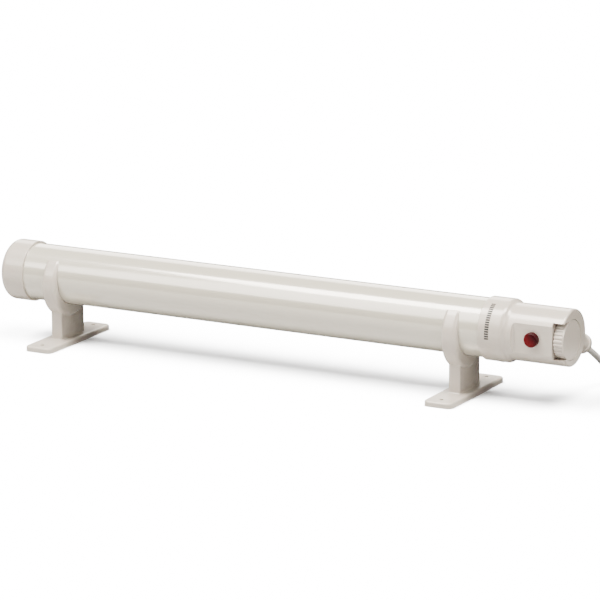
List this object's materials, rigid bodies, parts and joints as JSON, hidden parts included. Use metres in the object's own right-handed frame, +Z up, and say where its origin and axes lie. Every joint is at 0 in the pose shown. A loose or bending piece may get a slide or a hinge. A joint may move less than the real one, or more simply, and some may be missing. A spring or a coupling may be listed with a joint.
{
  "type": "tubular heater",
  "caption": "Low-wattage tubular greenhouse heater: painted tube on footed saddle brackets, end cap, control head with neon lamp and thermostat thumbwheel, mains lead with plug.",
  "frame": {"origin": "on the surface the feet stand on, under the middle of the heater (middle of its bounding box, the lead not counted)", "axes": "+X along the tube towards the control head, -Y towards the indicator lamp and the window of the thumbwheel, +Z up"},
  "size_m": [0.7501, 0.2385, 0.1039],
  "materials": {
    "painted_tube": "warm off-white gloss enamel",
    "white_moulding": "off-white satin-gloss moulding",
    "wheel_plastic": "white gloss moulding",
    "black_rubber": "matt",
    "silicone": "matt translucent silicone",
    "steel": "zinc plated",
    "brass": "plain turned",
    "lens_red": "clear red, polished",
    "nylon": "natural nylon",
    "clear_glass": "clear",
    "element_steel": "oxidised stainless sheath",
    "ceramic": "unglazed ceramic",
    "mica": "pressed mica sheet",
    "phenolic": "dark phenolic",
    "wire_blue": "blue insulation",
    "wire_brown": "brown insulation",
    "wire_earth": "green and yellow insulation",
    "wire_sleeved": "glass-fibre sleeved wire",
    "cord_grey": "pale grey flexible sheath",
    "plug_white": "white moulding"
  },
  "bodies": {
    "heater": {"bimetal_blade": "steel", "body_tube": "painted_tube", "cap_seal": "silicone", "coil_tie": "black_rubber", "contact_points": "brass", "control_housing": "white_moulding", "cutout_clip": "steel", "cutout_terminals": "brass", "earth_core": "wire_earth", "earth_link": "wire_earth", "earth_nut": "steel", "earth_tag": "brass", "element_insulators": "ceramic", "element_pins": "steel", "element_rod": "element_steel", "element_supports": "steel", "element_wires": "wire_sleeved", "end_cap": "white_moulding", "gland_body": "white_moulding", "gland_cap": "white_moulding", "gland_seal": "black_rubber", "heat_barrier": "mica", "housing_screws": "steel", "housing_seal": "silicone", "lead_coil": "cord_grey", "lead_tail": "cord_grey", "live_core": "wire_brown", "mains_lead": "cord_grey", "neon_body": "nylon", "neon_bulb": "clear_glass", "neon_clip": "steel", "neon_leads": "steel", "neon_lens": "lens_red", "neutral_core": "wire_blue", "plug_base": "plug_white", "plug_cover": "plug_white", "plug_fuse": "ceramic", "plug_pins": "brass", "plug_screw": "steel", "sheath_end": "cord_grey", "strain_relief": "cord_grey", "terminal_block": "nylon", "terminal_screws": "brass", "thermal_cutout": "phenolic", "thermostat_bush": "brass", "thermostat_case": "phenolic", "thermostat_nut": "brass", "thermostat_terminals": "brass"},
    "dial": {"thumbwheel": "wheel_plastic", "thermostat_spindle": "brass"},
    "left_bracket": {"bracket_left": "white_moulding"},
    "right_bracket": {"bracket_right": "white_moulding"}
  },
  "joints": [
    {"name": "dial_turn", "type": "hinge", "parent": "heater", "child": "dial", "pos_m": [0.321, -0.0037, 0.0705], "axis": [1, 0, 0], "range_deg": [-135, 135]},
    {"name": "left_bracket_slide", "type": "slide", "parent": "heater", "child": "left_bracket", "axis": [1, 0, 0], "range_m": [-0.02, 0.18]},
    {"name": "right_bracket_slide", "type": "slide", "parent": "heater", "child": "right_bracket", "axis": [1, 0, 0], "range_m": [-0.18, 0.019]}
  ]
}
